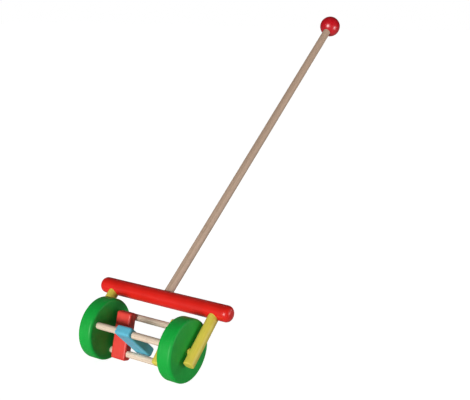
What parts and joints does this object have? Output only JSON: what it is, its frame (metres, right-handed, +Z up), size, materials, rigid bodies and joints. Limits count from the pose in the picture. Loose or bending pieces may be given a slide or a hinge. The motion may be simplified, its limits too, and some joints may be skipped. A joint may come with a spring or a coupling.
{
  "type": "push-along clatter roller",
  "caption": "Wooden push-along toy: a long handle with a ball grip steers a drum of wheels and rails, whose loose clappers clatter as it rolls.",
  "frame": {"origin": "on the floor midway between the wheels, straight below the axle", "axes": "+X along the wheels' axle towards the right wheel, +Y the way the handle leans back, +Z up"},
  "size_m": [0.1816, 0.4847, 0.3754],
  "materials": {
    "bare_wood": "bare sanded hardwood",
    "pale_wood": "bare sanded pale wood",
    "red_wood": "gloss red paint",
    "green_wood": "satin green paint",
    "yellow_wood": "satin yellow paint",
    "blue_wood": "satin blue paint"
  },
  "bodies": {
    "handle_frame": {"handle_rod": "bare_wood", "grip_ball": "red_wood", "crossbar": "red_wood", "left_arm": "yellow_wood", "right_arm": "yellow_wood", "left_axle_pin": "yellow_wood", "right_axle_pin": "yellow_wood"},
    "drum": {"left_wheel": "green_wood", "right_wheel": "green_wood", "front_rail": "pale_wood", "rear_rail": "pale_wood", "bottom_rail": "pale_wood"},
    "red_flap": {"red_clapper": "red_wood"},
    "blue_flap": {"blue_clapper": "blue_wood"},
    "yellow_flap": {"yellow_clapper": "yellow_wood"}
  },
  "joints": [
    {"name": "drum_spin", "type": "hinge", "parent": "handle_frame", "child": "drum", "pos_m": [0, 0, 0.035], "axis": [1, 0, 0], "continuous": true},
    {"name": "red_swing", "type": "hinge", "parent": "drum", "child": "red_flap", "pos_m": [-0.0318, 0, 0.011], "axis": [1, 0, 0], "range_deg": [-1, 32]},
    {"name": "blue_swing", "type": "hinge", "parent": "drum", "child": "blue_flap", "pos_m": [-0.0053, -0.02079, 0.047], "axis": [1, 0, 0], "range_deg": [-1, 32]},
    {"name": "yellow_swing", "type": "hinge", "parent": "drum", "child": "yellow_flap", "pos_m": [0.0325, 0.02079, 0.047], "axis": [1, 0, 0], "range_deg": [-32, 1]}
  ]
}
